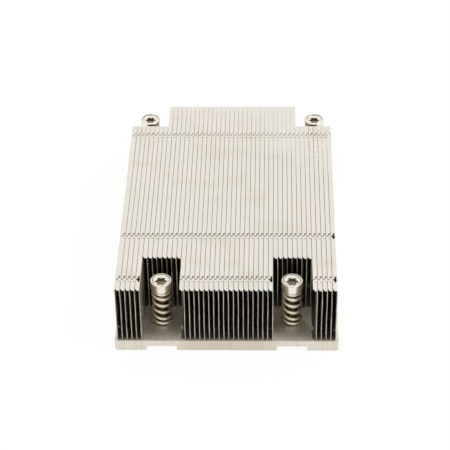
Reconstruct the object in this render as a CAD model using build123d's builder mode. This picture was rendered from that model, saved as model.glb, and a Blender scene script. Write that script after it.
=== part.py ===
"""Passive processor heatsink of a rack server: a plate, a stack of interlocked folded fins, four captive
spring screws. All lengths in millimetres. +Z is up, away from the processor; -Y is the side with the two
notches. The origin is the middle of the plate's contact face."""
from build123d import *
import math
import os

os.makedirs("parts", exist_ok=True)

# Plate
plate_length = 138.0
plate_thickness = 5.2
plate_side_margin = 1.05
plate_side_chamfer = 0.8

# Fin stack: the wall of each fin stands at the right of its flanges
fin_pitch = 2.0
fin_height = 26.6
sheet = 0.3
stack_front_setback = 0.6
stack_rear_setback = 4.4
edge_gap = 0.1
flange_corner = 0.9
outer_fins = 5
notch_fins = 8
middle_fins = 19
rear_short_fins = 8

# Interlocking rows: two measured from the fins' front edge, one from the short fins' rear edge
front_zip_inset = 6.9
middle_zip_inset = 36.0
rear_zip_inset = 6.0
zip_tip_reach = 1.72
zip_barb_reach = 0.6
zip_barb_rise = 2.4
zip_rear_neck = 1.1
zip_front_neck = 0.7
zip_clearance = 0.1
zip_slit = 0.25

# Captive screws: the front pair stands in the middle of the notches, the rear pair in the plate's corners
front_screw_inset = 13.4
front_screw_room = 8.1
rear_screw_inset = 7.2
rear_screw_side_inset = 8.2
rear_screw_room = 13.2
head_diameter = 9.0
head_height = 4.3
driver_points = 6
driver_across_points = 4.7
driver_across_flats = 3.2
driver_depth = 2.6
shank_diameter = 5.0
shank_clearance = 0.3
thread_diameter = 4.0
thread_length = 2.5
groove_diameter = 3.2
groove_play = 0.1

# Retaining clips, and the pockets for them under the plate
clip_size = 7.4
clip_corner = 1.4
clip_thickness = 0.8
clip_clearance = 0.05
seat_clearance = 0.3
seat_depth = 1.4
pocket_width = 12.6
pocket_reach = 6.3
pocket_depth = 2.2
pocket_corner = 3.0

# Springs
spring_length = 17.3
spring_diameter = 8.3
wire_diameter = 1.3
active_turns = 4
closed_turns = 0.75
closed_coil_gap = 0.04
spring_end_gap = 0.04
runs_per_turn = 6
wire_sides = 5

# Values worked out from the ones above
fin_count = 2 * outer_fins + 2 * notch_fins + middle_fins
stack_width = sheet + fin_count * fin_pitch
stack_left = -stack_width / 2
plate_width = stack_width + 2 * plate_side_margin
plate_front = -plate_length / 2
plate_rear = plate_length / 2
front_screw_x = fin_pitch * (middle_fins + notch_fins) / 2
front_screw_y = plate_front + front_screw_inset
rear_screw_x = plate_width / 2 - rear_screw_side_inset
rear_screw_y = plate_rear - rear_screw_inset
screw_places = {
    "front_left": (-front_screw_x, front_screw_y),
    "front_right": (front_screw_x, front_screw_y),
    "rear_left": (-rear_screw_x, rear_screw_y),
    "rear_right": (rear_screw_x, rear_screw_y),
}
stack_front = plate_front + stack_front_setback
notch_rear = front_screw_y + front_screw_room
short_rear = rear_screw_y - rear_screw_room
stack_rear = plate_rear - stack_rear_setback
zip_rows = (stack_front + front_zip_inset, stack_front + middle_zip_inset, short_rear - rear_zip_inset)
stack_bottom = plate_thickness
stack_top = plate_thickness + fin_height
head_underside = plate_thickness + spring_length
head_top = head_underside + head_height
clip_top = pocket_depth + seat_depth
clip_bottom = clip_top - clip_thickness


def finish(piece, label):
    """Name a piece and write it."""
    piece.part.label = label
    export_step(piece.part, f"parts/{label}.step")
    return piece.part


def build_plate():
    """The plate: flat underneath, an open pocket and a square clip seat round each screw, four holes."""
    hole_radius = shank_diameter / 2 + shank_clearance
    with BuildPart() as plate:
        with BuildSketch(Plane.XY):
            Rectangle(plate_width, plate_length)
        extrude(amount=plate_thickness)
        chamfer(plate.edges().filter_by(Axis.Y).group_by(Axis.Z)[0], plate_side_chamfer)
        with BuildSketch(Plane.XY):
            for x, y in screw_places.values():
                outward = math.copysign(1, y)
                inner_end = y - outward * pocket_reach
                outer_end = plate_rear if y > 0 else plate_front
                half = pocket_width / 2
                Polygon(
                    (x - half, outer_end),
                    (x - half, inner_end + outward * pocket_corner),
                    (x - half + pocket_corner, inner_end),
                    (x + half - pocket_corner, inner_end),
                    (x + half, inner_end + outward * pocket_corner),
                    (x + half, outer_end),
                    align=None,
                )
        extrude(amount=pocket_depth, mode=Mode.SUBTRACT)
        with BuildSketch(Plane.XY.offset(pocket_depth)):
            with Locations(*screw_places.values()):
                Rectangle(clip_size + 2 * seat_clearance, clip_size + 2 * seat_clearance)
        extrude(amount=seat_depth, mode=Mode.SUBTRACT)
        with BuildSketch(Plane.XY):
            with Locations(*screw_places.values()):
                Circle(hole_radius)
        extrude(amount=plate_thickness, mode=Mode.SUBTRACT)
    return finish(plate, "base_plate")


def build_end_sheet():
    """The plain sheet that closes the left end of the stack."""
    with BuildPart() as end_sheet:
        with BuildSketch(Plane.XY.offset(stack_bottom)):
            with Locations((stack_left + sheet / 2, (stack_front + short_rear) / 2)):
                Rectangle(sheet, short_rear - stack_front)
        extrude(amount=fin_height)
    return finish(end_sheet, "end_sheet")


def fin_front(index):
    """Where this fin starts: at the stack's front edge, or behind a screw in one of the two notches."""
    left_notch = outer_fins < index <= outer_fins + notch_fins
    right_notch = outer_fins < fin_count + 1 - index <= outer_fins + notch_fins
    return notch_rear if left_notch or right_notch else stack_front


def fin_rear(index):
    """Where this fin ends: short of the rear screws at both sides, and further back in the middle."""
    short = index <= rear_short_fins or index > fin_count - rear_short_fins
    return short_rear if short else stack_rear


def has_row(index, row_y):
    """Whether this fin reaches the interlocking row."""
    return 1 <= index <= fin_count and fin_front(index) < row_y < fin_rear(index)


def notch_outline(fold, row_y):
    """The hooked cut beside a fold that takes the next fin's tongue."""
    return [
        (fold, row_y + zip_rear_neck),
        (fold - zip_barb_reach, row_y + zip_barb_rise),
        (fold - zip_tip_reach, row_y),
        (fold, row_y - zip_front_neck),
    ]


def tongue_outline(root, fold, row_y):
    """The hooked tongue that leaves a flange's free edge and fills the last fin's cut, less its clearances."""
    barb_y = row_y + zip_barb_rise - zip_slit
    neck_y = row_y + zip_rear_neck - zip_clearance
    root_y = neck_y - (barb_y - neck_y) * (root - fold) / zip_barb_reach
    return [
        (root, root_y),
        (fold - zip_barb_reach, barb_y),
        (fold - zip_tip_reach + zip_slit, row_y),
        (root, row_y - zip_front_neck + zip_clearance),
    ]


def build_fin(index):
    """One folded fin: a wall with a top and a bottom flange, both folded to the left, with its tongues."""
    last_fold = stack_left + sheet + (index - 1) * fin_pitch
    fold = last_fold + fin_pitch
    free_edge = last_fold + edge_gap
    front = fin_front(index)
    flange_width = fold - free_edge
    with BuildPart() as fin:
        with BuildSketch(Plane.XZ.offset(-front)):
            with Locations((fold, stack_bottom)):
                Rectangle(sheet, fin_height, align=(Align.MAX, Align.MIN))
                Rectangle(flange_width, sheet, align=(Align.MAX, Align.MIN))
            with Locations((fold, stack_top)):
                Rectangle(flange_width, sheet, align=(Align.MAX, Align.MAX))
        extrude(amount=front - fin_rear(index))
        top_free_corners = fin.edges().filter_by(Axis.Z).group_by(Axis.X)[0].group_by(Axis.Z)[-1]
        chamfer(top_free_corners.sort_by(Axis.Y)[0], flange_corner)
        rows = [row_y for row_y in zip_rows if has_row(index, row_y)]
        with BuildSketch(Plane.XY.offset(stack_top - sheet)):
            for row_y in rows:
                Polygon(*notch_outline(fold, row_y), align=None)
        extrude(amount=sheet, mode=Mode.SUBTRACT)
        joined_rows = [row_y for row_y in rows if has_row(index - 1, row_y)]
        if joined_rows:
            with BuildSketch(Plane.XY.offset(stack_top - sheet)):
                for row_y in joined_rows:
                    Polygon(*tongue_outline(free_edge, last_fold, row_y), align=None)
            extrude(amount=sheet)
    return finish(fin, f"fin_{index:02d}")


def build_screw(name, x, y):
    """A captive screw: round head, six-point driver recess, shank, clip groove, threaded end."""
    head_radius = head_diameter / 2
    shank_radius = shank_diameter / 2
    groove_radius = groove_diameter / 2
    thread_radius = thread_diameter / 2
    groove_top = clip_top + groove_play
    with BuildPart() as screw:
        with BuildSketch(Plane(origin=(x, y, 0), x_dir=(1, 0, 0), z_dir=(0, -1, 0))):
            with BuildLine():
                Polyline(
                    (0, clip_bottom - thread_length),
                    (thread_radius, clip_bottom - thread_length),
                    (thread_radius, clip_bottom),
                    (groove_radius, clip_bottom),
                    (groove_radius, groove_top),
                    (shank_radius, groove_top),
                    (shank_radius, head_underside),
                    (head_radius, head_underside),
                    (head_radius, head_top),
                    (0, head_top),
                    close=True,
                )
            make_face()
        revolve(axis=Axis((x, y, 0), (0, 0, 1)))
        points = []
        for step in range(2 * driver_points):
            across = driver_across_points if step % 2 == 0 else driver_across_flats
            angle = math.pi * step / driver_points
            points.append((x + across / 2 * math.cos(angle), y + across / 2 * math.sin(angle)))
        with BuildSketch(Plane.XY.offset(head_top - driver_depth)):
            Polygon(*points, align=None)
        extrude(amount=driver_depth, mode=Mode.SUBTRACT)
    return finish(screw, f"screw_{name}")


def spring_height(turn, rise):
    """How far the wire has climbed after so many turns: closed turns at both ends, an even pitch between."""
    closed_pitch = wire_diameter + closed_coil_gap
    pitch = (rise - 2 * closed_turns * closed_pitch) / active_turns
    before = min(turn, closed_turns)
    active = min(max(turn - closed_turns, 0), active_turns)
    after = turn - before - active
    return closed_pitch * (before + after) + pitch * active


def build_spring(name, x, y):
    """A compression spring wound left-handed, with closed ends, drawn as straight runs of wire. The runs'
    ends lie outside the real coil's mean circle by as much as their middles lie inside it."""
    wire_radius = wire_diameter / 2
    mean_radius = spring_diameter / 2 - wire_radius
    corner_radius = mean_radius / math.sqrt(math.cos(math.pi / runs_per_turn))
    low = plate_thickness + wire_radius + spring_end_gap
    rise = spring_length - 2 * (wire_radius + spring_end_gap)
    corners = []
    for step in range(round((active_turns + 2 * closed_turns) * runs_per_turn) + 1):
        turn = step / runs_per_turn
        angle = -2 * math.pi * turn
        height = low + spring_height(turn, rise)
        corners.append((x + corner_radius * math.cos(angle), y + corner_radius * math.sin(angle), height))
    with BuildPart() as spring:
        with BuildLine() as path:
            Polyline(*corners)
        with BuildSketch(Plane(origin=path.line @ 0, z_dir=path.line % 0)):
            RegularPolygon(wire_radius, wire_sides)
        sweep(transition=Transition.RIGHT)
    return finish(spring, f"spring_{name}")


def build_clip(name, x, y):
    """The U-shaped spring clip in the screw's groove; its square outline keeps it from turning in its seat."""
    half_slot = groove_diameter / 2 + clip_clearance
    outward = math.copysign(1, y)
    with BuildPart() as clip:
        with BuildSketch(Plane.XY.offset(clip_bottom)) as outline:
            with Locations((x, y)):
                Rectangle(clip_size, clip_size)
            chamfer(outline.vertices(), clip_corner)
            with Locations((x, y + outward * (clip_size / 2 - half_slot) / 2)):
                Rectangle(2 * half_slot, clip_size / 2 + half_slot, mode=Mode.SUBTRACT)
        extrude(amount=clip_thickness)
    return finish(clip, f"clip_{name}")


build_plate()
build_end_sheet()
for number in range(1, fin_count + 1):
    build_fin(number)
for place, (screw_x, screw_y) in screw_places.items():
    build_screw(place, screw_x, screw_y)
    build_spring(place, screw_x, screw_y)
    build_clip(place, screw_x, screw_y)
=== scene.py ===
# %% [markdown]
# # A passive heatsink from a rack server
# The real object is a milled metal plate with a stack of 45 folded sheets soldered to it. The sheets hook
# into each other with small tongues, like a zip, and four captive screws with springs press the whole thing
# onto a processor. The solid model holds every piece at its real size. This lesson gives the pieces the
# shapes and the metal that the eye sees, without moving any of them.

# %% Load the fixed frame
import bmesh
import bpy
import math
import numpy as np
from mathutils import Matrix, Vector


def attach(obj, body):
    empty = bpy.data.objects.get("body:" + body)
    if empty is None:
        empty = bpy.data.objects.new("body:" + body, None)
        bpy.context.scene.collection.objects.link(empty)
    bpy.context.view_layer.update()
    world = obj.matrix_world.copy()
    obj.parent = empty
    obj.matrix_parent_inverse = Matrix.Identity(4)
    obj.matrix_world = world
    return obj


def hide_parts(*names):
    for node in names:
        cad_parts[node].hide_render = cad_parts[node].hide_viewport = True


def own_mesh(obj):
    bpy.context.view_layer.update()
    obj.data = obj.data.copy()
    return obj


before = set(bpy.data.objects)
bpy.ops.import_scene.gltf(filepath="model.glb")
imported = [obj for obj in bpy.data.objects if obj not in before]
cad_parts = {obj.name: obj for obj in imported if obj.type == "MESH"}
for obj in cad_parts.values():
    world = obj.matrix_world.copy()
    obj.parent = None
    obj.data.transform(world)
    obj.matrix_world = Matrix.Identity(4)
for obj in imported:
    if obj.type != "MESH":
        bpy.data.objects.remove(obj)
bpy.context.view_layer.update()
mm = 0.001


def add_object(name, data):
    """A new object that stands in the scene."""
    added = bpy.data.objects.new(name, data)
    bpy.context.scene.collection.objects.link(added)
    return added


# %% [markdown]
# ## The camera
# The place and the lens come from matching the corners of the plate and of the stack with the picture.
# The camera stands 0.8 m away and looks down by 38 degrees through a long lens, so the far end of the
# stack is only a little narrower than the near end. Three unit vectors say how it is turned.

# %% Set up the camera
camera_place = Vector((19.248, -605.579, 480.197)) * mm
yaw, tilt, roll = np.radians([-2.022, -37.674, -1.131])
ahead = Vector((math.sin(yaw) * math.cos(tilt), math.cos(yaw) * math.cos(tilt), math.sin(tilt)))
level = Vector((math.cos(yaw), -math.sin(yaw), 0))
above = level.cross(ahead)
right = level * math.cos(roll) + above * math.sin(roll)
upward = above * math.cos(roll) - level * math.sin(roll)
camera = add_object("camera", bpy.data.cameras.new("camera"))
camera.matrix_world = Matrix.Translation(camera_place) @ Matrix((right, upward, -ahead)).transposed().to_4x4()
camera.data.sensor_width = 36
camera.data.lens = 138.74
camera.data.clip_start = 0.05
bpy.context.scene.camera = camera
bpy.context.scene.view_settings.view_transform = "Standard"
print("the camera is", round(camera_place.length, 3), "m from the plate's middle")

# %% [markdown]
# ## Writing materials as sums
# A material is a web of nodes. Drawn by hand it is quick to read, but written as code it gets long. Here a
# small class stands for one socket, and the signs + - and * on it add the Math nodes, so a pattern reads
# like a formula. A second class owns the web and adds every other kind of node with one method.


# %% A socket that can be added and multiplied
class Signal:
    """A number that varies over a surface, such as a pattern's strength: one output socket of a web."""

    def __init__(self, web, socket):
        self.web = web
        self.socket = socket

    def other(self, name):
        """Another output of the same node."""
        return Signal(self.web, self.socket.node.outputs[name])

    def work(self, operation, first, second):
        return self.web.node("ShaderNodeMath", {"operation": operation}, {0: first, 1: second})

    def __add__(self, other):
        return self.work("ADD", self, other)

    def __sub__(self, other):
        return self.work("SUBTRACT", self, other)

    def __rsub__(self, other):
        return self.work("SUBTRACT", other, self)

    def __mul__(self, other):
        return self.work("MULTIPLY", self, other)

    __radd__ = __add__
    __rmul__ = __mul__


print("a socket understands", ", ".join(name for name in vars(Signal) if name.startswith("__r")))


# %% A web of nodes
class Web:
    """The nodes of one material or of the surroundings."""

    def __init__(self, owner):
        owner.use_nodes = True
        self.owner = owner
        self.tree = owner.node_tree
        self.tree.nodes.clear()

    def node(self, kind, settings=None, inputs=None, output=0):
        """Add a node: its settings first, then the values or links of its sockets. Gives one output."""
        node = self.tree.nodes.new(kind)
        for name, value in (settings or {}).items():
            setattr(node, name, value)
        for name, value in (inputs or {}).items():
            if isinstance(value, Signal):
                self.tree.links.new(value.socket, node.inputs[name])
            else:
                node.inputs[name].default_value = value
        return Signal(self, node.outputs[output]) if len(node.outputs) else None

    def blend(self, share, first, second):
        """A colour between two colours."""
        first, second = (c if isinstance(c, Signal) else (*c, 1) for c in (first, second))
        return self.node("ShaderNodeMix", {"data_type": "RGBA"}, {0: share, 6: first, 7: second}, 2)

    def clip(self, value, low, high, bottom=0, top=1):
        """The value carried from low..high to bottom..top, and held there beyond."""
        return self.node("ShaderNodeMapRange", {"clamp": True},
                         {"Value": value, 1: low, 2: high, 3: bottom, 4: top})

    def noise(self, size, detail=2, stretch=(1, 1, 1), shift=(0, 0, 0)):
        """Cloudy noise from 0 to 1 whose clouds are about size millimetres, longer along a stretched axis."""
        scale = [1 / (size * mm * s) for s in stretch]
        place = self.node("ShaderNodeTexCoord", output="Object")
        place = self.node("ShaderNodeMapping", {"vector_type": "POINT"},
                          {"Vector": place, "Scale": scale, "Location": shift})
        return self.node("ShaderNodeTexNoise", {}, {"Vector": place, "Scale": 1, "Detail": detail})

    def axes(self):
        """The three Object coordinates, in metres."""
        x = self.node("ShaderNodeSeparateXYZ", {}, {0: self.node("ShaderNodeTexCoord", output="Object")})
        return x, x.other("Y"), x.other("Z")

    def marked(self, name):
        """The number that the mesh keeps under this name for each point."""
        return self.node("ShaderNodeAttribute", {"attribute_name": name}, output="Fac")

    def looking_rays(self):
        """1 for the rays that show a thing, from the camera, off a mirror or through glass, and 0 for those
        that only gather its light. Also gives the rays off a mirror alone."""
        direct = self.node("ShaderNodeLightPath", output="Is Camera Ray")
        mirrored = direct.other("Is Glossy Ray")
        looking = self.node("ShaderNodeMath", {"operation": "ADD", "use_clamp": True},
                            {0: direct + mirrored, 1: direct.other("Is Transmission Ray")})
        return looking, mirrored


print("a web has the methods", ", ".join(name for name in vars(Web) if not name.startswith("_")))

# %% [markdown]
# ## The surroundings
# The object was photographed in a white tent: everything that the metal mirrors is white, except the
# object itself, and the dark opening of the tent on the camera's side. A world that is white to the camera
# and to mirrored rays does that, with a softly darker patch where the opening is. To matt surfaces the
# world is a little darker, and two large soft lamps add the rest, so that edges get some shape.

# %% Make the white tent
world = bpy.data.worlds.new("white_tent")
bpy.context.scene.world = world
web = Web(world)
looking, mirrored = web.looking_rays()
toward_opening = web.node("ShaderNodeVectorMath", {"operation": "DOT_PRODUCT"}, {
    0: web.node("ShaderNodeTexCoord", output="Generated"), 1: (0, -0.8, 0.6)}, "Value")
opening = web.clip(toward_opening, 0.80, 0.98, 0, 0.5)
matt_strength = 0.7
glow = web.node("ShaderNodeBackground", {}, {
    "Color": (1, 1, 1, 1),
    "Strength": (looking * (1 - matt_strength) + matt_strength) * (1 - mirrored * opening)})
web.node("ShaderNodeOutputWorld", {}, {"Surface": glow})
print("nodes in the tent:", len(web.tree.nodes))

# %% [markdown]
# ## The floor
# A floor lit only by the lamps would be grey in the picture. This one mostly shines by itself to the camera,
# so it is white and still takes the object's soft shadow. It lies a hair below the plate and is clear from
# underneath, so a camera down there sees the plate and its screws.

# %% Lay the floor
half, hair = 3, 0.02 * mm
floor_mesh = bpy.data.meshes.new("floor")
corners = [(x, y, -hair) for x, y in ((-half, -half), (half, -half), (half, half), (-half, half))]
floor_mesh.from_pydata(corners, [], [(0, 1, 2, 3)])
floor = add_object("floor", floor_mesh)
web = Web(bpy.data.materials.new("pale_floor"))
looking = web.looking_rays()[0]
matt = web.node("ShaderNodeBsdfDiffuse", {}, {"Color": (0.93, 0.93, 0.92, 1)})
shine = web.node("ShaderNodeEmission", {}, {"Color": (1, 1, 0.995, 1), "Strength": 1.03})
upper_side = web.node("ShaderNodeMixShader", {}, {0: looking * 0.88, 1: matt, 2: shine})
from_below = web.node("ShaderNodeNewGeometry", output="Backfacing")
clear = web.node("ShaderNodeBsdfTransparent")
one_way = web.node("ShaderNodeMixShader", {}, {0: from_below, 1: upper_side, 2: clear})
web.node("ShaderNodeOutputMaterial", {}, {"Surface": one_way})
floor_mesh.materials.append(web.owner)
print("the floor lies", round(hair / mm, 3), "mm below the plate")

# %% [markdown]
# ## The lamps
# The light in the tent comes from everywhere, but a little more from the right. So there are two square
# lamps, a weak one on the left and a stronger one on the right. Both are large, because a large lamp
# throws soft shadows and draws broad, quiet highlights on metal.


# %% Hang the lamps
def soft_lamp(name, place, size, watts):
    """A square lamp that looks at the middle of the object. Place and size are in metres."""
    lamp = add_object(name, bpy.data.lights.new(name, "AREA"))
    lamp.data.size = size
    lamp.data.energy = watts
    lamp.location = place
    lamp.rotation_euler = (-Vector(place)).to_track_quat("-Z", "Y").to_euler()


soft_lamp("lamp_left", (-0.7, -0.5, 1.3), size=1.1, watts=2.0)
soft_lamp("lamp_right", (0.8, -0.2, 1.2), size=0.9, watts=4.5)

# %% [markdown]
# ## From a grid of points to a piece
# Every new piece here is a surface: points on a grid, worked out with a formula as whole arrays. This
# helper joins neighbours into four-sided faces. It can leave cells out, which is how holes are cut, join
# the last column to the first, and close an end where all points of a row meet in one.


# %% Merge points and shade a mesh
def merge_doubles(mesh, join_flat=False):
    """Merge points that lie in one place, which drops faces with no area. With join_flat, the faces of each
    flat part are joined into one as well."""
    same_place, still_flat = 0.0005 * mm, math.radians(2)
    made = bmesh.new()
    made.from_mesh(mesh)
    bmesh.ops.remove_doubles(made, verts=made.verts, dist=same_place)
    if join_flat:
        bmesh.ops.dissolve_limit(made, angle_limit=still_flat, verts=made.verts, edges=made.edges)
    made.to_mesh(mesh)
    made.free()


def settle(piece, sharp=35):
    """Work the modifiers into the mesh, and shade it smooth except along edges sharper than an angle."""
    evaluated = piece.evaluated_get(bpy.context.evaluated_depsgraph_get())
    mesh = bpy.data.meshes.new_from_object(evaluated)
    piece.data = mesh
    piece.modifiers.clear()
    mesh.name = piece.name
    mesh.polygons.foreach_set("use_smooth", np.ones(len(mesh.polygons), bool))
    mesh.set_sharp_from_angle(angle=math.radians(sharp))
    return piece


print("meshes can be merged and shaded")


# %% Turn arrays of points into a mesh
def piece_from_grid(name, points, keep=None, around=False, thickness=0, marks=None, sharp=35):
    """points[i, j] is a place in mm. Faces join i, i + 1 and j, j + 1, and face the way of
    (step in j) x (step in i). keep[i, j] says which cells stay. With around, the last j joins the first,
    and the two end rows are closed by merging their equal points. With a thickness, the surface becomes
    a sheet that grows against its facing. marks are named numbers, one or one for each point, that the
    mesh keeps for its material."""
    rows, columns = points.shape[:2]
    number = np.arange(rows * columns).reshape(rows, columns)
    after = np.roll(number, -1, axis=1) if around else number[:, 1:]
    before = number if around else number[:, :-1]
    cells = np.stack([before[:-1], after[:-1], after[1:], before[1:]], axis=-1)
    cells = cells[keep] if keep is not None else cells.reshape(-1, 4)
    used, cells = np.unique(cells, return_inverse=True)
    places = points.reshape(-1, 3)[used] * mm
    mesh = bpy.data.meshes.new(name)
    mesh.from_pydata(places.tolist(), [], cells.reshape(-1, 4).tolist())
    for mark, value in (marks or {}).items():
        value = np.broadcast_to(np.asarray(value, np.float32), (rows, columns)).reshape(-1)[used]
        mesh.attributes.new(mark, "FLOAT", "POINT").data.foreach_set("value", np.ascontiguousarray(value))
    piece = add_object(name, mesh)
    if around:
        merge_doubles(mesh)
    if thickness:
        wall = piece.modifiers.new("thickness", "SOLIDIFY")
        wall.thickness = thickness * mm
        wall.offset = -1
        wall.use_even_offset = True
    return settle(piece, sharp)


print("grids can become pieces")

# %% [markdown]
# ## The folded fins
# A real fin is one strip of thin sheet, folded twice, so that it has a wall and two narrow flanges. The
# flanges of all fins together make the closed top of the stack. Where the fins hook together, each has a
# hole shaped like a clover leaf that is cut across its fold, and the next fin's tongue lies in it.
#
# A box with a knife cut would do for a far view, but here the folds' roundness draws the thin grey lines
# between the flanges. So a fin is a grid: one direction runs along the bent section, from the bottom
# flange over the wall to the tip of the tongue, and the other runs from front to back. The clover leaf
# comes from moving two of the section's columns apart, row by row, and leaving out the cells between them.

# %% The stack's sizes in mm
pitch = 2.0
sheet = 0.3
fold_radius = 0.34
flange = 1.9
stack_bottom, stack_top = 5.2, 31.8
stack_front, notch_rear, short_rear, stack_rear = -68.4, -47.5, 48.6, 64.6
hook_rows = (-61.75, -33.3, 40.7)
fin_count = 45
beside_notch, in_notch, in_shoulder = 5, 8, 8
first_fold = -44.85


def fin_span(index):
    """Where a fin starts and ends, front to back: behind a screw's notch it starts further back, and at the
    rear shoulders it ends sooner."""
    from_side = min(index, fin_count + 1 - index)
    front = notch_rear if beside_notch < from_side <= beside_notch + in_notch else stack_front
    rear = short_rear if from_side <= in_shoulder else stack_rear
    return front, rear


def reaches(index, row):
    """Whether this fin is there and reaches past this hook row."""
    front, rear = fin_span(index)
    return 1 <= index <= fin_count and front < row < rear


print("fins that start behind a screw:", sum(fin_span(i)[0] == notch_rear for i in range(1, fin_count + 1)))

# %% [markdown]
# The clover leaf is drawn as a table: how far the hole's two sides are from the fold at each distance
# from the row's middle. The tongue has its own table, a little smaller all round. The gap is wider at the
# leaf's upper left, and that is the dark slanting line that shows at each fin in the picture.

# %% The hole and the tongue, in mm
hole_along = np.array([
    -1.5, -1.3, -1.05, -0.75, -0.5, -0.25, 0, 0.25, 0.5, 0.8, 1.1, 1.4, 1.7, 2.05, 2.35, 2.52])
hole_near = np.array([
    0.6, 0.42, 0.36, 0.32, 0.3, 0.3, 0.32, 0.35, 0.4, 0.48, 0.44, 0.34, 0.28, 0.26, 0.32, 0.5])
hole_far = np.array([
    0.75, 0.96, 1.02, 0.98, 1.14, 1.54, 1.86, 1.86, 1.68, 1.34, 1.1, 1.02, 1.02, 1, 0.9, 0.68])
tongue_along = np.array([
    -1.16, -1.04, -0.86, -0.64, -0.4, -0.22, -0.04, 0.13, 0.31, 0.51, 0.72, 0.96, 1.2, 1.43, 1.63, 1.78])
tongue_near = np.array([
    0.62, 0.5, 0.46, 0.45, 0.45, 0.45, 0.45, 0.45, 0.44, 0.42, 0.4, 0.37, 0.34, 0.3, 0.26, 0.24])
tongue_far = np.array([
    0.66, 0.74, 0.8, 0.84, 1.02, 1.34, 1.54, 1.44, 1.26, 1.06, 0.88, 0.76, 0.69, 0.62, 0.52, 0.38])
neck_start, neck_end = 3, 9
plain_near, plain_far, least_rim = 0.38, 0.6, 0.1
tongue_end, root_dip, tip_dip, end_dip = 0.45, 0.03, 0.07, 0.5
print("the clover leaf is", round(hole_along[-1] - hole_along[0], 2), "mm long and its tongue",
      round(tongue_along[-1] - tongue_along[0], 2))

# %% [markdown]
# The grid's lines across the fin need not be evenly spaced. Long plain stretches get few of them, and the
# front corners, which are rounded off with a radius, and the hooks get many. That keeps a fin light.

# %% The grid's lines from front to back
corner_radius, corner_cut = 1.05, 0.72
rear_length, rear_cut = 0.4, 0.3
beside_hook = np.array([-1.9, 2.9])
longest = 7.0


def rows_along(front, rear, rows):
    """Where the grid's lines lie: r (1 - cos a) from each end, as on a rounded corner, then at the hooks'
    tables, and nowhere more than the longest step apart. Also gives, for each line, which point of the
    hole's table it is, or -1."""
    corner = corner_radius * (1 - np.cos(np.linspace(0, np.pi / 2, 6)))
    plain = np.full(len(corner), -1)
    groups = [(front + corner, plain)]
    for row in rows:
        groups.append((row + hole_along, np.arange(len(hole_along))))
        groups.append((row + beside_hook, np.array([-1, -1])))
    groups.append((rear - corner, plain))
    along, table = (np.concatenate(part) for part in zip(*groups))
    order = np.argsort(along)
    along, table = along[order], table[order]
    gaps = np.diff(along)
    steps = np.ceil(gaps / longest).astype(int)
    extra = np.concatenate([along[i] + gaps[i] * np.arange(1, n) / n for i, n in enumerate(steps) if n > 1])
    along = np.concatenate([along, extra])
    table = np.concatenate([table, np.full(len(extra), -1)])
    order = np.argsort(along)
    return along[order], table[order]


print("grid lines of a long fin:", len(rows_along(stack_front, stack_rear, hook_rows)[0]))

# %% [markdown]
# No fin is perfectly flat. Thin sheet that is pressed, stacked and soldered bows a little to one side or
# the other, which shows as a slight waver in the row of front edges. Each fin gets its own slow waves,
# which fade out towards the two folds, because the flanges hold the sheet there.


# %% How a wall bows
def bow(along, height, front, seed):
    """Sideways shift of the wall in mm: two slow waves along the fin, 47 and 19 mm long, times sin(pi h)
    over its height h, and an S over the height, sin(2 pi h + p) with a small p, which fades as
    exp(-distance from the front edge / 9)."""
    random = np.random.default_rng(seed)
    size = random.uniform(0.02, 0.05, 2)
    turn = random.uniform(0, 2 * np.pi, 3)
    long_wave = size[0] * np.sin(2 * np.pi * along / 47 + turn[0])
    short_wave = size[1] * np.sin(2 * np.pi * along / 19 + turn[1])
    lip = np.exp(-(along - front) / 9) * random.uniform(0.03, 0.09)
    s_wave = lip * np.sin(2 * np.pi * height + 0.5 * np.sin(turn[2]))
    return (long_wave + short_wave) * np.sin(np.pi * height) - s_wave


print("a wall's front edge bows by at most",
      round(np.abs(bow(stack_front, np.linspace(0, 1, 50), stack_front, seed=101)).max(), 2), "mm")

# %% [markdown]
# A flange starts with the fold, has the hole just beyond it, and ends in the tongue that reaches into the
# next fin's hole. The upper and the lower flange are the same, so one function gives both, measured from
# the fold and from the flange's own outer face.


# %% One flange with its hook
def flange_section(along, table, free, bent_up):
    """The section of one flange from its bend to the tongue's tip: how far each column is from the fold,
    how far it is below the flange's outer face, and how far it is shifted to the rear. On a bend of radius
    R, at the angle a from the wall, these are R (1 - cos a) and R (1 - sin a). The tongue's last part dips
    under the neighbour's flange. Where no fin waits for the tongue, it is bent up to stand on end."""
    in_hole = table >= 0
    at = np.clip(table, 0, None)
    still = 0 * along
    bend = np.radians([22.5, 45])
    across = [fold_radius * (1 - np.cos(a)) + still for a in bend]
    drop = [fold_radius * (1 - np.sin(a)) + still for a in bend]
    near = np.where(in_hole, hole_near[at], plain_near)
    far = np.minimum(np.where(in_hole, hole_far[at], plain_far), free - least_rim)
    over_bend = np.clip(fold_radius - near, 0, None)
    across += [near, far, (far + free) / 2, free]
    drop += [fold_radius - np.sqrt(fold_radius ** 2 - over_bend ** 2), still, still, still]
    root = np.where(in_hole, tongue_near[at], 0)
    tip = np.where(in_hole, tongue_far[at], 0)
    if bent_up:
        across += [free + 0.01, free + 0.02, free + 0.02]
        drop += [sheet + root, sheet + (root + tip) / 2, end_dip + tip]
    else:
        across += [pitch + root, pitch + tip, pitch + tip + tongue_end]
        drop += [root_dip + still, tip_dip + still, end_dip + still]
    move = np.where(in_hole, tongue_along[at] - hole_along[at], 0)
    shift = [still] * 4 + [move / 2] + [move] * 3 + [0.3 * move]
    return np.array(across), np.array(drop), np.array(shift)


def hook_row_of(along):
    """The hook row that each line of the grid is nearest to."""
    rows = np.array(hook_rows)
    return rows[np.abs(along[:, None] - rows).argmin(axis=1)]


one_hook = flange_section(hole_along, np.arange(len(hole_along)), flange + 0 * hole_along, bent_up=False)
section_columns = len(one_hook[0])
print("columns of points in a flange's section:", section_columns)

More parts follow.
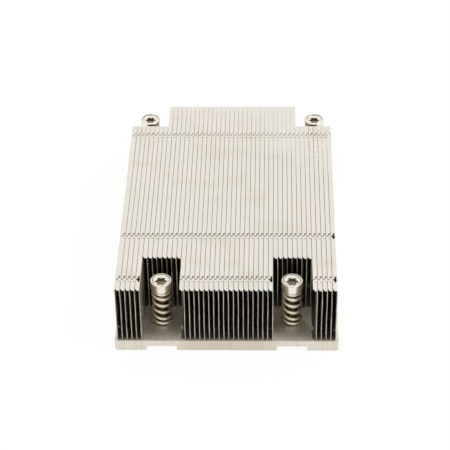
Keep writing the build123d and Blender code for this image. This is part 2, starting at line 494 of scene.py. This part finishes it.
# %% [markdown]
# A fin is the lower flange read backwards, the wall, and the upper flange. Which cells stay decides where
# there is a hole or a tongue: a tongue is only there where the fin on the left has a place for it, and the
# first fin of each block, which has no such neighbour, keeps its lower tongues bent up instead.

# %% The grid of one fin
wall_lines = 8
fold_cells, hole_cell, bridge_cell, tongue_cells = slice(0, 3), 3, 6, slice(7, 9)


def fin_surface(index):
    """Points and kept cells of one fin. Its section runs from the lower tongue's tip over the lower
    flange, the wall and the upper flange to the upper tongue's tip. The flanges' free edge draws in
    towards the front corner as a power of the distance, and a little at the rear corner."""
    front, rear = fin_span(index)
    rows = [row for row in hook_rows if reaches(index, row)]
    along, table = rows_along(front, rear, rows)
    front_corner = corner_cut * np.clip(1 - (along - front) / corner_radius, 0, None) ** 1.15
    rear_corner = rear_cut * np.clip(1 - (rear - along) / rear_length, 0, None)
    free = flange - front_corner - rear_corner
    over_end_sheet = 0.08 if index == 1 else 0
    alone = reaches(index, hook_rows[0]) and not reaches(index - 1, hook_rows[0])
    lower = flange_section(along, table, free, alone)
    upper = flange_section(along, table, free + over_end_sheet, False)

    top = stack_top - stack_bottom
    shares = np.linspace(0, 1, wall_lines)[:, None] + 0 * along
    across = np.concatenate([lower[0][::-1], 0 * shares, upper[0]])
    height = np.concatenate([lower[1][::-1], fold_radius + shares * (top - 2 * fold_radius), top - upper[1]])
    depth = along + np.concatenate([lower[2][::-1], 0 * shares, upper[2]])
    on_wall = across < 0.01
    side = bow(depth, height / top, front, seed=100 + index) * on_wall
    points = np.stack([first_fold + pitch * index - across + side, depth, stack_bottom + height], axis=-1)

    cut = (table[:-1] >= 0) & (table[1:] == table[:-1] + 1)
    neck = cut & (table[:-1] >= neck_start) & (table[1:] <= neck_end)
    joined = cut & np.isin(hook_row_of(along)[:-1], [row for row in rows if reaches(index - 1, row)])
    upper_keep = np.ones((section_columns, len(cut)), bool)
    upper_keep[fold_cells, neck] = False
    upper_keep[hole_cell] = ~cut
    upper_keep[bridge_cell] = joined & neck
    upper_keep[tongue_cells] = joined
    lower_keep = upper_keep.copy()
    if alone:
        lower_keep[bridge_cell] = neck
        lower_keep[tongue_cells] = cut
    wall_keep = np.ones((wall_lines - 1, len(cut)), bool)
    return points, np.concatenate([lower_keep[::-1], wall_keep, upper_keep])


print("points of the first fin's grid:", fin_surface(1)[0].shape[:2])

# %% [markdown]
# Two numbers go with each fin's points for its material. The tone is one number for the whole fin, because
# no two strips are equally bright. The other says how far inside the stack a point is, in mm from the
# nearer end, since light hardly comes there. On the lower flange, but for its ends, it counts as deep.

# %% Make all the fins
lower_tongue, lower_flange = slice(0, 3), slice(3, 9)
deep = 1.6
fins = []
for index in range(1, fin_count + 1):
    points, keep = fin_surface(index)
    tone = float(np.random.default_rng(index).uniform(0, 1))
    front, rear = fin_span(index)
    inside = np.minimum(points[:, :, 1] - front, rear - points[:, :, 1])
    inside[lower_flange, 1:-1] = np.maximum(inside[lower_flange, 1:-1], deep)
    inside[lower_tongue] = 0
    fin = piece_from_grid(f"folded_fin_{index:02d}", points, keep, thickness=sheet,
                          marks={"tone": tone, "inside": inside})
    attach(fin, "heatsink")
    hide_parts(f"fin_{index:02d}")
    fins.append(fin)
print("faces of a middle fin:", len(fins[fin_count // 2].data.polygons),
      "and of all:", sum(len(fin.data.polygons) for fin in fins))

# %% [markdown]
# ## The end sheet
# The left side of the stack has no wall of its own, because every fin's flanges are folded to the left. A
# plain sheet closes it. It is the same kind of surface, with no folds: a flat grid that bows a little.

# %% Make the end sheet
height, along = np.meshgrid(np.linspace(0, 1, 9), np.linspace(stack_front, short_rear, 30), indexing="ij")
side = 0.6 * bow(along, height, stack_front, seed=7)
points = np.stack([first_fold - sheet + side, along,
                   stack_bottom + height * (stack_top - stack_bottom)], axis=-1)
inside = np.minimum(along - stack_front, short_rear - along)
end_sheet = piece_from_grid("closing_sheet", points[::-1], thickness=sheet,
                            marks={"tone": 0.4, "inside": inside[::-1]})
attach(end_sheet, "heatsink")
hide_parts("end_sheet")
print("faces of the end sheet:", len(end_sheet.data.polygons))

# %% [markdown]
# ## The plate and the clips
# The plate is sawn from bar and milled flat, with pockets underneath for the clips. Its shape in the solid
# model is right, but real edges are never knife sharp: they are broken with a file, and catch the light.
# The piece is a copy of the solid's mesh. The copy is loose triangles, so they are merged, and the
# triangles of each flat face joined, before a Bevel rounds the edges.


# %% Copy a solid and break its edges
def broken_edges(node, name, width):
    """A copy of a solid with every edge sharper than 30 degrees rounded by width mm."""
    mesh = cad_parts[node].data.copy()
    merge_doubles(mesh, join_flat=True)
    mesh.materials.clear()
    old_shading = mesh.attributes.get("custom_normal")
    if old_shading is not None:
        mesh.attributes.remove(old_shading)
    piece = add_object(name, mesh)
    edge = piece.modifiers.new("edges", "BEVEL")
    edge.width = width * mm
    edge.segments = 2
    edge.limit_method = "ANGLE"
    edge.angle_limit = math.radians(30)
    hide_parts(node)
    return settle(piece)


plate = broken_edges("base_plate", "milled_plate", 0.22)
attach(plate, "heatsink")
screw_spots = {"front_left": (-27, -55.6), "front_right": (27, -55.6),
               "rear_left": (-38, 61.8), "rear_right": (38, 61.8)}
clips = []
for place in screw_spots:
    clip = broken_edges(f"clip_{place}", f"retaining_clip_{place}", 0.1)
    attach(clip, f"slider_{place}")
    clips.append(clip)
print("faces of the plate:", len(plate.data.polygons), "and of a clip:", len(clips[0].data.polygons))

# %% [markdown]
# ## The captive screws
# A screw is turned on a lathe, so it is a profile carried round an axis. Two places depart from that: the
# driver's recess has six lobes, and the thread climbs as it goes round. Both are the same trick, a radius
# that also depends on the angle, so the whole screw stays one closed surface.

# %% The screw's profile in mm
head_top, head_underside = 26.8, 22.5
recess = [  # share of the lobes' radius, what is added to it, depth below the top
    (0, 0, 2.6), (0.5, 0, 2.6), (0.9, 0, 2.6), (0.97, 0, 2.5), (1, 0, 1.7), (1, 0, 0.85),
    (1, 0.03, 0.74), (1, 0.14, 0.68), (0.5, 1.75, 0.66)]
dish_and_rim = [  # radius, depth below the top
    (3.3, 0.62), (3.5, 0.56), (3.62, 0.44), (3.7, 0.16), (3.76, 0.05), (3.9, 0), (4.1, 0), (4.3, 0.04),
    (4.44, 0.14), (4.5, 0.32), (4.5, 1.4)]
under_head = [  # radius, height above the underside
    (4.5, 1.2), (4.5, 0.3), (4.44, 0.12), (4.3, 0.02), (4.1, 0), (2.7, 0), (2.54, -0.06), (2.5, -0.2)]
shank = [  # radius, height
    (2.5, 15), (2.5, 8), (2.5, 3.9), (2.4, 3.74), (2.3, 3.7), (1.66, 3.7), (1.6, 3.64), (1.6, 2.86),
    (1.66, 2.8), (1.7, 2.8)]
thread_pitch, thread_top, thread_end, tip = 0.7, 2.7, 0.5, 0.3
# How dark each ring is, counted from the recess's floor: grime, and painted shade in the recess, on the
# dish's inner wall and down the shank.
grime_rings = [0, 4, 5, 6, 7, 8, 10, 11, 12, 13, 26, 28, 31, 36]
grime_there = [0.5, 0.75, 0.9, 0.6, 0.1, 0, 0, 0.7, 0.8, 0, 0, 1, 1, 1]
print("rings above the thread:", len(recess + dish_and_rim + under_head + shank))


# %% A screw as one surface
def screw_surface(x, y):
    """Rings from the recess's floor to the tip, each a radius and a height for every angle a round the axis.
    The recess is r = 1.95 + 0.33 cos 6a + 0.07 cos 12a. The thread is r = 2 - 0.43 |1 - 2 f|, where f is
    the fractional part of height / pitch - a / (2 pi), and r is no more than a cone's at the tip. Also gives
    how dark each point is: grime, and painted shade in the recess, round the dish and down the shank."""
    angle = np.linspace(0, 2 * np.pi, 96, endpoint=False)
    lobes = 1.95 + 0.33 * np.cos(6 * angle) + 0.07 * np.cos(12 * angle)
    rings = [(share * lobes + more, head_top - depth) for share, more, depth in recess]
    turned = [(radius, head_top - depth) for radius, depth in dish_and_rim]
    turned += [(radius, head_underside + height) for radius, height in under_head]
    rings += [(np.full_like(angle, radius), height) for radius, height in turned + shank]
    for z in np.linspace(thread_top, thread_end, 23):
        turn = np.mod(z / thread_pitch - angle / (2 * np.pi), 1)
        crest = 2.0 - 0.43 * np.abs(1 - 2 * turn)
        cone = 2.0 * min(1.0, (z - tip) / 0.5 * 0.4 + 0.6)
        rings.append((np.minimum(crest, cone), z))
    rings += [(np.full_like(angle, radius), tip) for radius in (1.35, 0.6, 0)]
    points = [np.stack([x + r * np.cos(angle), y + r * np.sin(angle), np.full_like(angle, z)], axis=-1)
              for r, z in rings]
    grime = np.interp(np.arange(len(rings)), [*grime_rings, len(rings)], [*grime_there, 0.6])
    return np.array(points)[::-1], np.repeat(grime[::-1, None], len(angle), axis=1)


screws = []
for place, (x, y) in screw_spots.items():
    points, grime = screw_surface(x, y)
    screw = piece_from_grid(f"captive_screw_{place}", points, around=True,
                            marks={"grime": grime}, sharp=40)
    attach(screw, f"fastener_{place}")
    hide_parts(f"screw_{place}")
    screws.append(screw)
print("faces of a screw:", len(screws[0].data.polygons))

# %% [markdown]
# ## The springs
# A spring is one round wire wound round the screw, left-handed on this object, with its end turns laid
# close and ground flat so that it stands square. It is a circle carried along a helix. The circle stays
# upright and turned towards the axis, and its height is held between the two ground faces.

# %% The spring's sizes in mm
coil_radius, wire_radius = 3.5, 0.65
coil_turns, closed_turns, closed_rise = 5.5, 0.75, 1.34
lowest_middle, whole_rise = 5.89, 15.92
ground_low, ground_high = 5.24, 22.46
end_length, end_bend = 0.4, 0.32
steps_a_turn, steps_round_wire = 44, 18
open_turns = coil_turns - 2 * closed_turns
open_rise = (whole_rise - 2 * closed_turns * closed_rise) / open_turns
print("an open turn rises by", round(open_rise, 2), "mm, and a closed one by", closed_rise)


# %% A spring as one surface
def spring_surface(x, y):
    """The wire's middle goes round the axis at the coil's radius, at the angle -2 pi turns, and climbs the
    closed rise a turn in the end turns and the open rise between them. The last 0.4 turn at each end bends
    a little away from the coil. Round the middle lies a circle of the wire's radius, whose height is clipped
    at the ground ends, and at both ends the circle shrinks to a point."""
    turns = np.linspace(0, coil_turns, round(coil_turns * steps_a_turn) + 1)
    past_closed = turns - closed_turns
    climb = (closed_rise * (np.minimum(turns, closed_turns) + np.clip(past_closed - open_turns, 0, None))
             + open_rise * np.clip(past_closed, 0, open_turns))
    from_end = np.minimum(turns, coil_turns - turns)
    away = end_bend * np.clip(1 - from_end / end_length, 0, None) ** 1.5
    middle = lowest_middle + climb - np.where(turns < coil_turns / 2, away, -away)
    turns, middle = (np.concatenate([v[:1], v, v[-1:]]) for v in (turns, middle))
    wire = np.full_like(turns, wire_radius)
    wire[[0, -1]] = 0
    around = np.linspace(0, 2 * np.pi, steps_round_wire, endpoint=False)
    angle = -2 * np.pi * turns[:, None]
    reach = coil_radius + wire[:, None] * np.cos(around)
    height = np.clip(middle[:, None] + wire[:, None] * np.sin(around), ground_low, ground_high)
    return np.stack([x + reach * np.cos(angle), y + reach * np.sin(angle), height], axis=-1)


springs = []
for place, (x, y) in screw_spots.items():
    spring = piece_from_grid(f"coil_spring_{place}", spring_surface(x, y), around=True, sharp=50)
    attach(spring, "heatsink")
    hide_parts(f"spring_{place}")
    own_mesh(spring)
    springs.append(spring)
print("faces of a spring:", len(springs[0].data.polygons))

# %% [markdown]
# ## Bare metal
# All pieces are metal, and metal is mostly what it mirrors. What tells them apart is the tint, how blurred
# the mirror is, and the marks of how each was made: rolling lines and solder stains on the fins, mill
# marks on the plate, a smooth plating on the screws. One function joins these for every piece.


# %% The shared metal surface
def metal_surface(web, colour, roughness, bump, depth, metallic_share=1.0):
    """Join the patterns into one metal. The bump's depth is in mm. The last number is how metallic the
    surface is; the fins lower it inside the stack as part of their painted shade.
    """
    normal = web.node("ShaderNodeBump", {}, {"Strength": 1, "Distance": depth * mm, "Height": bump})
    shine = web.node("ShaderNodeBsdfPrincipled", {}, {
        "Base Color": colour, "Metallic": metallic_share, "Roughness": roughness, "Normal": normal})
    web.node("ShaderNodeOutputMaterial", {}, {"Surface": shine})
    return web.owner


def dress(pieces, metal):
    """Give the pieces their metal, and print how many nodes it has."""
    for piece in pieces:
        piece.data.materials.append(metal)
    print(metal.name, "has", len(metal.node_tree.nodes), "nodes and is on", len(pieces), "pieces")


print("patterns can become a metal")

# %% [markdown]
# ## The fins' sheet
# Aluminium sheet comes bright from the rolls, with fine lines along it. Soldering leaves pale brown clouds.
# Between the fins the sheet mirrors its neighbour over and over, which would take far more bounces of light
# than a render has. So inside the stack a painted shade makes the colour dark brown and less metallic, and
# painted shade makes the gaps' floor almost black. The cut front edges are duller and worn unevenly, and
# behind the screws' notches their lower part is painted darker as shade.

# %% The sheet's tint
web = Web(bpy.data.materials.new("folded_aluminium_sheet"))
clouds = web.noise(14, detail=3)
hue = web.clip(web.noise(30, detail=2, shift=(5, 2, 0)), 0.35, 0.65)
stain = web.clip(web.noise(11, detail=4, stretch=(1.5, 1, 1), shift=(3, 7, 1)), 0.5, 0.7)
cool_sheet, warm_sheet, pale_sheet = (0.785, 0.787, 0.71), (0.865, 0.775, 0.71), (0.82, 0.80, 0.73)
solder_stain = (0.76, 0.68, 0.50)
tint = web.blend(hue * 0.65 + web.marked("tone") * 0.35, cool_sheet, warm_sheet)
tint = web.blend(clouds * 0.3, tint, pale_sheet)
tint = web.blend(stain * 0.42, tint, solder_stain)
print("nodes in the sheet's tint:", len(web.tree.nodes))

# %% [markdown]
# Where the shade begins is said with soft steps: from the ends of the stack inwards, below the top face,
# and between the middles of the two outer walls, so that the stack's outside keeps its bright metal.

# %% The sheet's shade and front edges
x, y, z = web.axes()
mark = web.marked("inside")
outer_wall = 45.0
inside = web.clip(mark, 0.05, 2.0) * web.clip(z, (stack_top - 0.08) * mm, (stack_top - 0.16) * mm)
inside = inside * web.clip(x, (outer_wall + 0.02) * mm, (outer_wall - 0.02) * mm)
inside = inside * web.clip(x, (-outer_wall - 0.02) * mm, (-outer_wall + 0.02) * mm)
edge = web.clip(z, (stack_top - 0.35) * mm, (stack_top - 0.45) * mm) * web.clip(mark, 0.02, 0.0)
# Painted shade on the lower front edges of the fins behind the screws' notches.
notch_edge_shade = web.clip(y, -50 * mm, -48 * mm) * web.clip(z, 24 * mm, 13 * mm)
worn = web.clip(web.noise(5, detail=2, stretch=(0.6, 1, 1), shift=(9, 4, 6)), 0.38, 0.62)
# Painted shade: the floor of each gap, at the foot of the stack, is painted almost black.
gap_floor_shade = web.clip(z, (stack_bottom + 1.1) * mm, (stack_bottom + 0.4) * mm) * inside
# The cut edges' own dull colour, then two colours of painted shade: dark brown inside the stack and almost
# black on the gaps' floor.
dull_edge, gap_shade_brown, gap_floor_shade_black = (0.34, 0.305, 0.235), (0.32, 0.235, 0.12), (0.07, 0.055, 0.04)
# The cut edges are duller and worn, and darker still where painted shade falls in the notches.
tint = web.blend(edge * (0.42 + 0.4 * worn + 0.12 * notch_edge_shade), tint, dull_edge)
# Painted shade inside the stack, dark brown.
tint = web.blend(inside * 0.6, tint, gap_shade_brown)
# The painted shade on the gaps' floor.
tint = web.blend(gap_floor_shade * 0.85, tint, gap_floor_shade_black)
rolling = web.noise(0.25, detail=3, stretch=(1, 14, 14))
rough = 0.13 + 0.10 * clouds + 0.06 * rolling + 0.22 * edge
# Inside the stack the metal is also made less metallic, as part of the painted shade.
dress([*fins, end_sheet], metal_surface(web, tint, rough, rolling, depth=0.003, metallic_share=1 - 0.65 * inside))

# %% [markdown]
# ## The milled plate
# A milled face has fine parallel lines, and sawn bar shows faint streaks across its edge. Bare aluminium
# goes blotchy with age, and the front edge, where the part is held, is darker, most in its middle. Each of
# these is a mask that blends one more colour over the last, which is easy to weigh one by one.

# %% Milled plate
web = Web(bpy.data.materials.new("milled_aluminium_plate"))
mill = web.noise(0.18, detail=3, stretch=(10, 1, 10))
clouds = web.noise(18, detail=3)
x, y, z = web.axes()
hue = web.clip(web.noise(8, detail=2, shift=(4, 1, 2)), 0.35, 0.65)
streaks = web.clip(web.noise(0.6, detail=2, stretch=(1, 14, 14), shift=(1, 2, 0)), 0.35, 0.7)
middle = web.clip(x, -22 * mm, -14 * mm) * web.clip(x, 22 * mm, 14 * mm) * web.clip(y, -66 * mm, -68 * mm)
handled = web.clip(y, -61 * mm, -68 * mm) * web.clip(z, 5.0 * mm, 5.15 * mm)
tint = web.blend(clouds, (0.77, 0.71, 0.61), (0.87, 0.81, 0.73))
for share, colour in ((hue * 0.5, (0.78, 0.75, 0.62)), (streaks * 0.55, (0.64, 0.565, 0.48)),
                      (middle * 0.6, (0.62, 0.55, 0.43)), (handled * 0.5, (0.42, 0.38, 0.31))):
    tint = web.blend(share, tint, colour)
dress([plate], metal_surface(web, tint, 0.41 + 0.12 * clouds + 0.06 * mill, mill, depth=0.007))

# %% [markdown]
# ## The screws' nickel
# Nickel plating is smooth and slightly yellow. It mirrors sharply. The recess, the dish's inner wall and
# the shank are darkened ring by ring, as the mesh keeps it: partly grime, partly painted shade where these
# hollows lie in shadow. Faint rings from the lathe show through the plating.

# %% Nickel plating
web = Web(bpy.data.materials.new("nickel_plating"))
grime = web.marked("grime")
clouds = web.noise(2.5, detail=2)
lathe_rings = web.noise(0.12, detail=2, stretch=(8, 8, 1))
tint = web.blend(clouds, (0.82, 0.77, 0.67), (0.91, 0.86, 0.78))
# Grime, and painted shade in the hollows.
tint = web.blend(grime, tint, (0.25, 0.20, 0.11))
dress(screws, metal_surface(web, tint, 0.12 + 0.08 * clouds + 0.15 * grime, lathe_rings, depth=0.002))

# %% [markdown]
# ## The springs' wire and the clips' steel
# The wire is drawn through a die and plated, so it is warm and a little duller than the screws. The clips
# are plain spring steel with the grain of their sheet. Both are one cloudy tint with one fine grain: they
# are small, or hidden under the plate, and more would not be seen.

# %% Spring wire
web = Web(bpy.data.materials.new("spring_wire"))
drawn = web.noise(0.15, detail=2, stretch=(4, 4, 1))
clouds = web.noise(3, detail=2)
tint = web.blend(clouds, (0.84, 0.77, 0.63), (0.94, 0.88, 0.76))
dress(springs, metal_surface(web, tint, 0.27 + 0.12 * clouds, drawn, depth=0.003))

# %% Clip steel
web = Web(bpy.data.materials.new("clip_steel"))
grain = web.noise(0.2, detail=3, stretch=(6, 1, 1))
clouds = web.noise(2.5, detail=3)
tint = web.blend(clouds, (0.42, 0.41, 0.40), (0.56, 0.54, 0.52))
dress(clips, metal_surface(web, tint, 0.28 + 0.16 * clouds, grain, depth=0.004))

# %% [markdown]
# Every piece was joined to the body that carries it as it was made.
